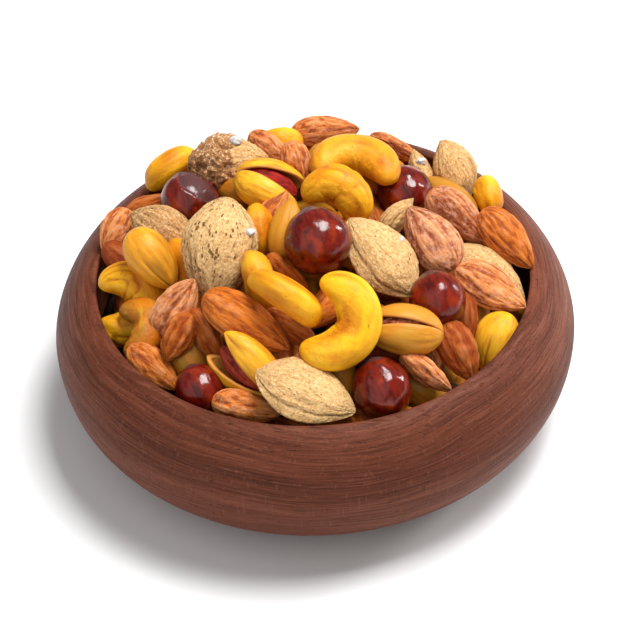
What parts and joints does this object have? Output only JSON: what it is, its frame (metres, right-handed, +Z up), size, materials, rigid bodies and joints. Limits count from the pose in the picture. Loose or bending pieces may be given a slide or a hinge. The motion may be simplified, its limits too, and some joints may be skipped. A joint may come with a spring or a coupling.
{
  "type": "bowl of mixed nuts",
  "caption": "Round dark wooden bowl with a rounded belly and a turned-in rim, heaped above the rim with mixed nuts.",
  "frame": {"origin": "middle of the bowl's flat foot, on the surface that it stands on", "axes": "+Z up through the mouth of the bowl, -Y towards the picture's viewpoint, +X to its right"},
  "size_m": [0.15, 0.15, 0.0782],
  "materials": {
    "bowl_wood": "dark turned wood with a satin oiled finish",
    "nut_heap": "roasted mixed nuts, dry and slightly salted",
    "almond_kernel": "wrinkled brown skin, matte",
    "almond_shell": "pitted pale beige shell, matte",
    "cashew": "smooth saffron-coated kernel with a soft sheen",
    "pistachio_shell": "smooth ochre shell with a soft sheen",
    "hazelnut_shell": "polished dark red shell",
    "salt": "white salt lumps"
  },
  "bodies": {
    "root": {"bowl": "bowl_wood", "nut_heap": "nut_heap"}
  },
  "joints": []
}
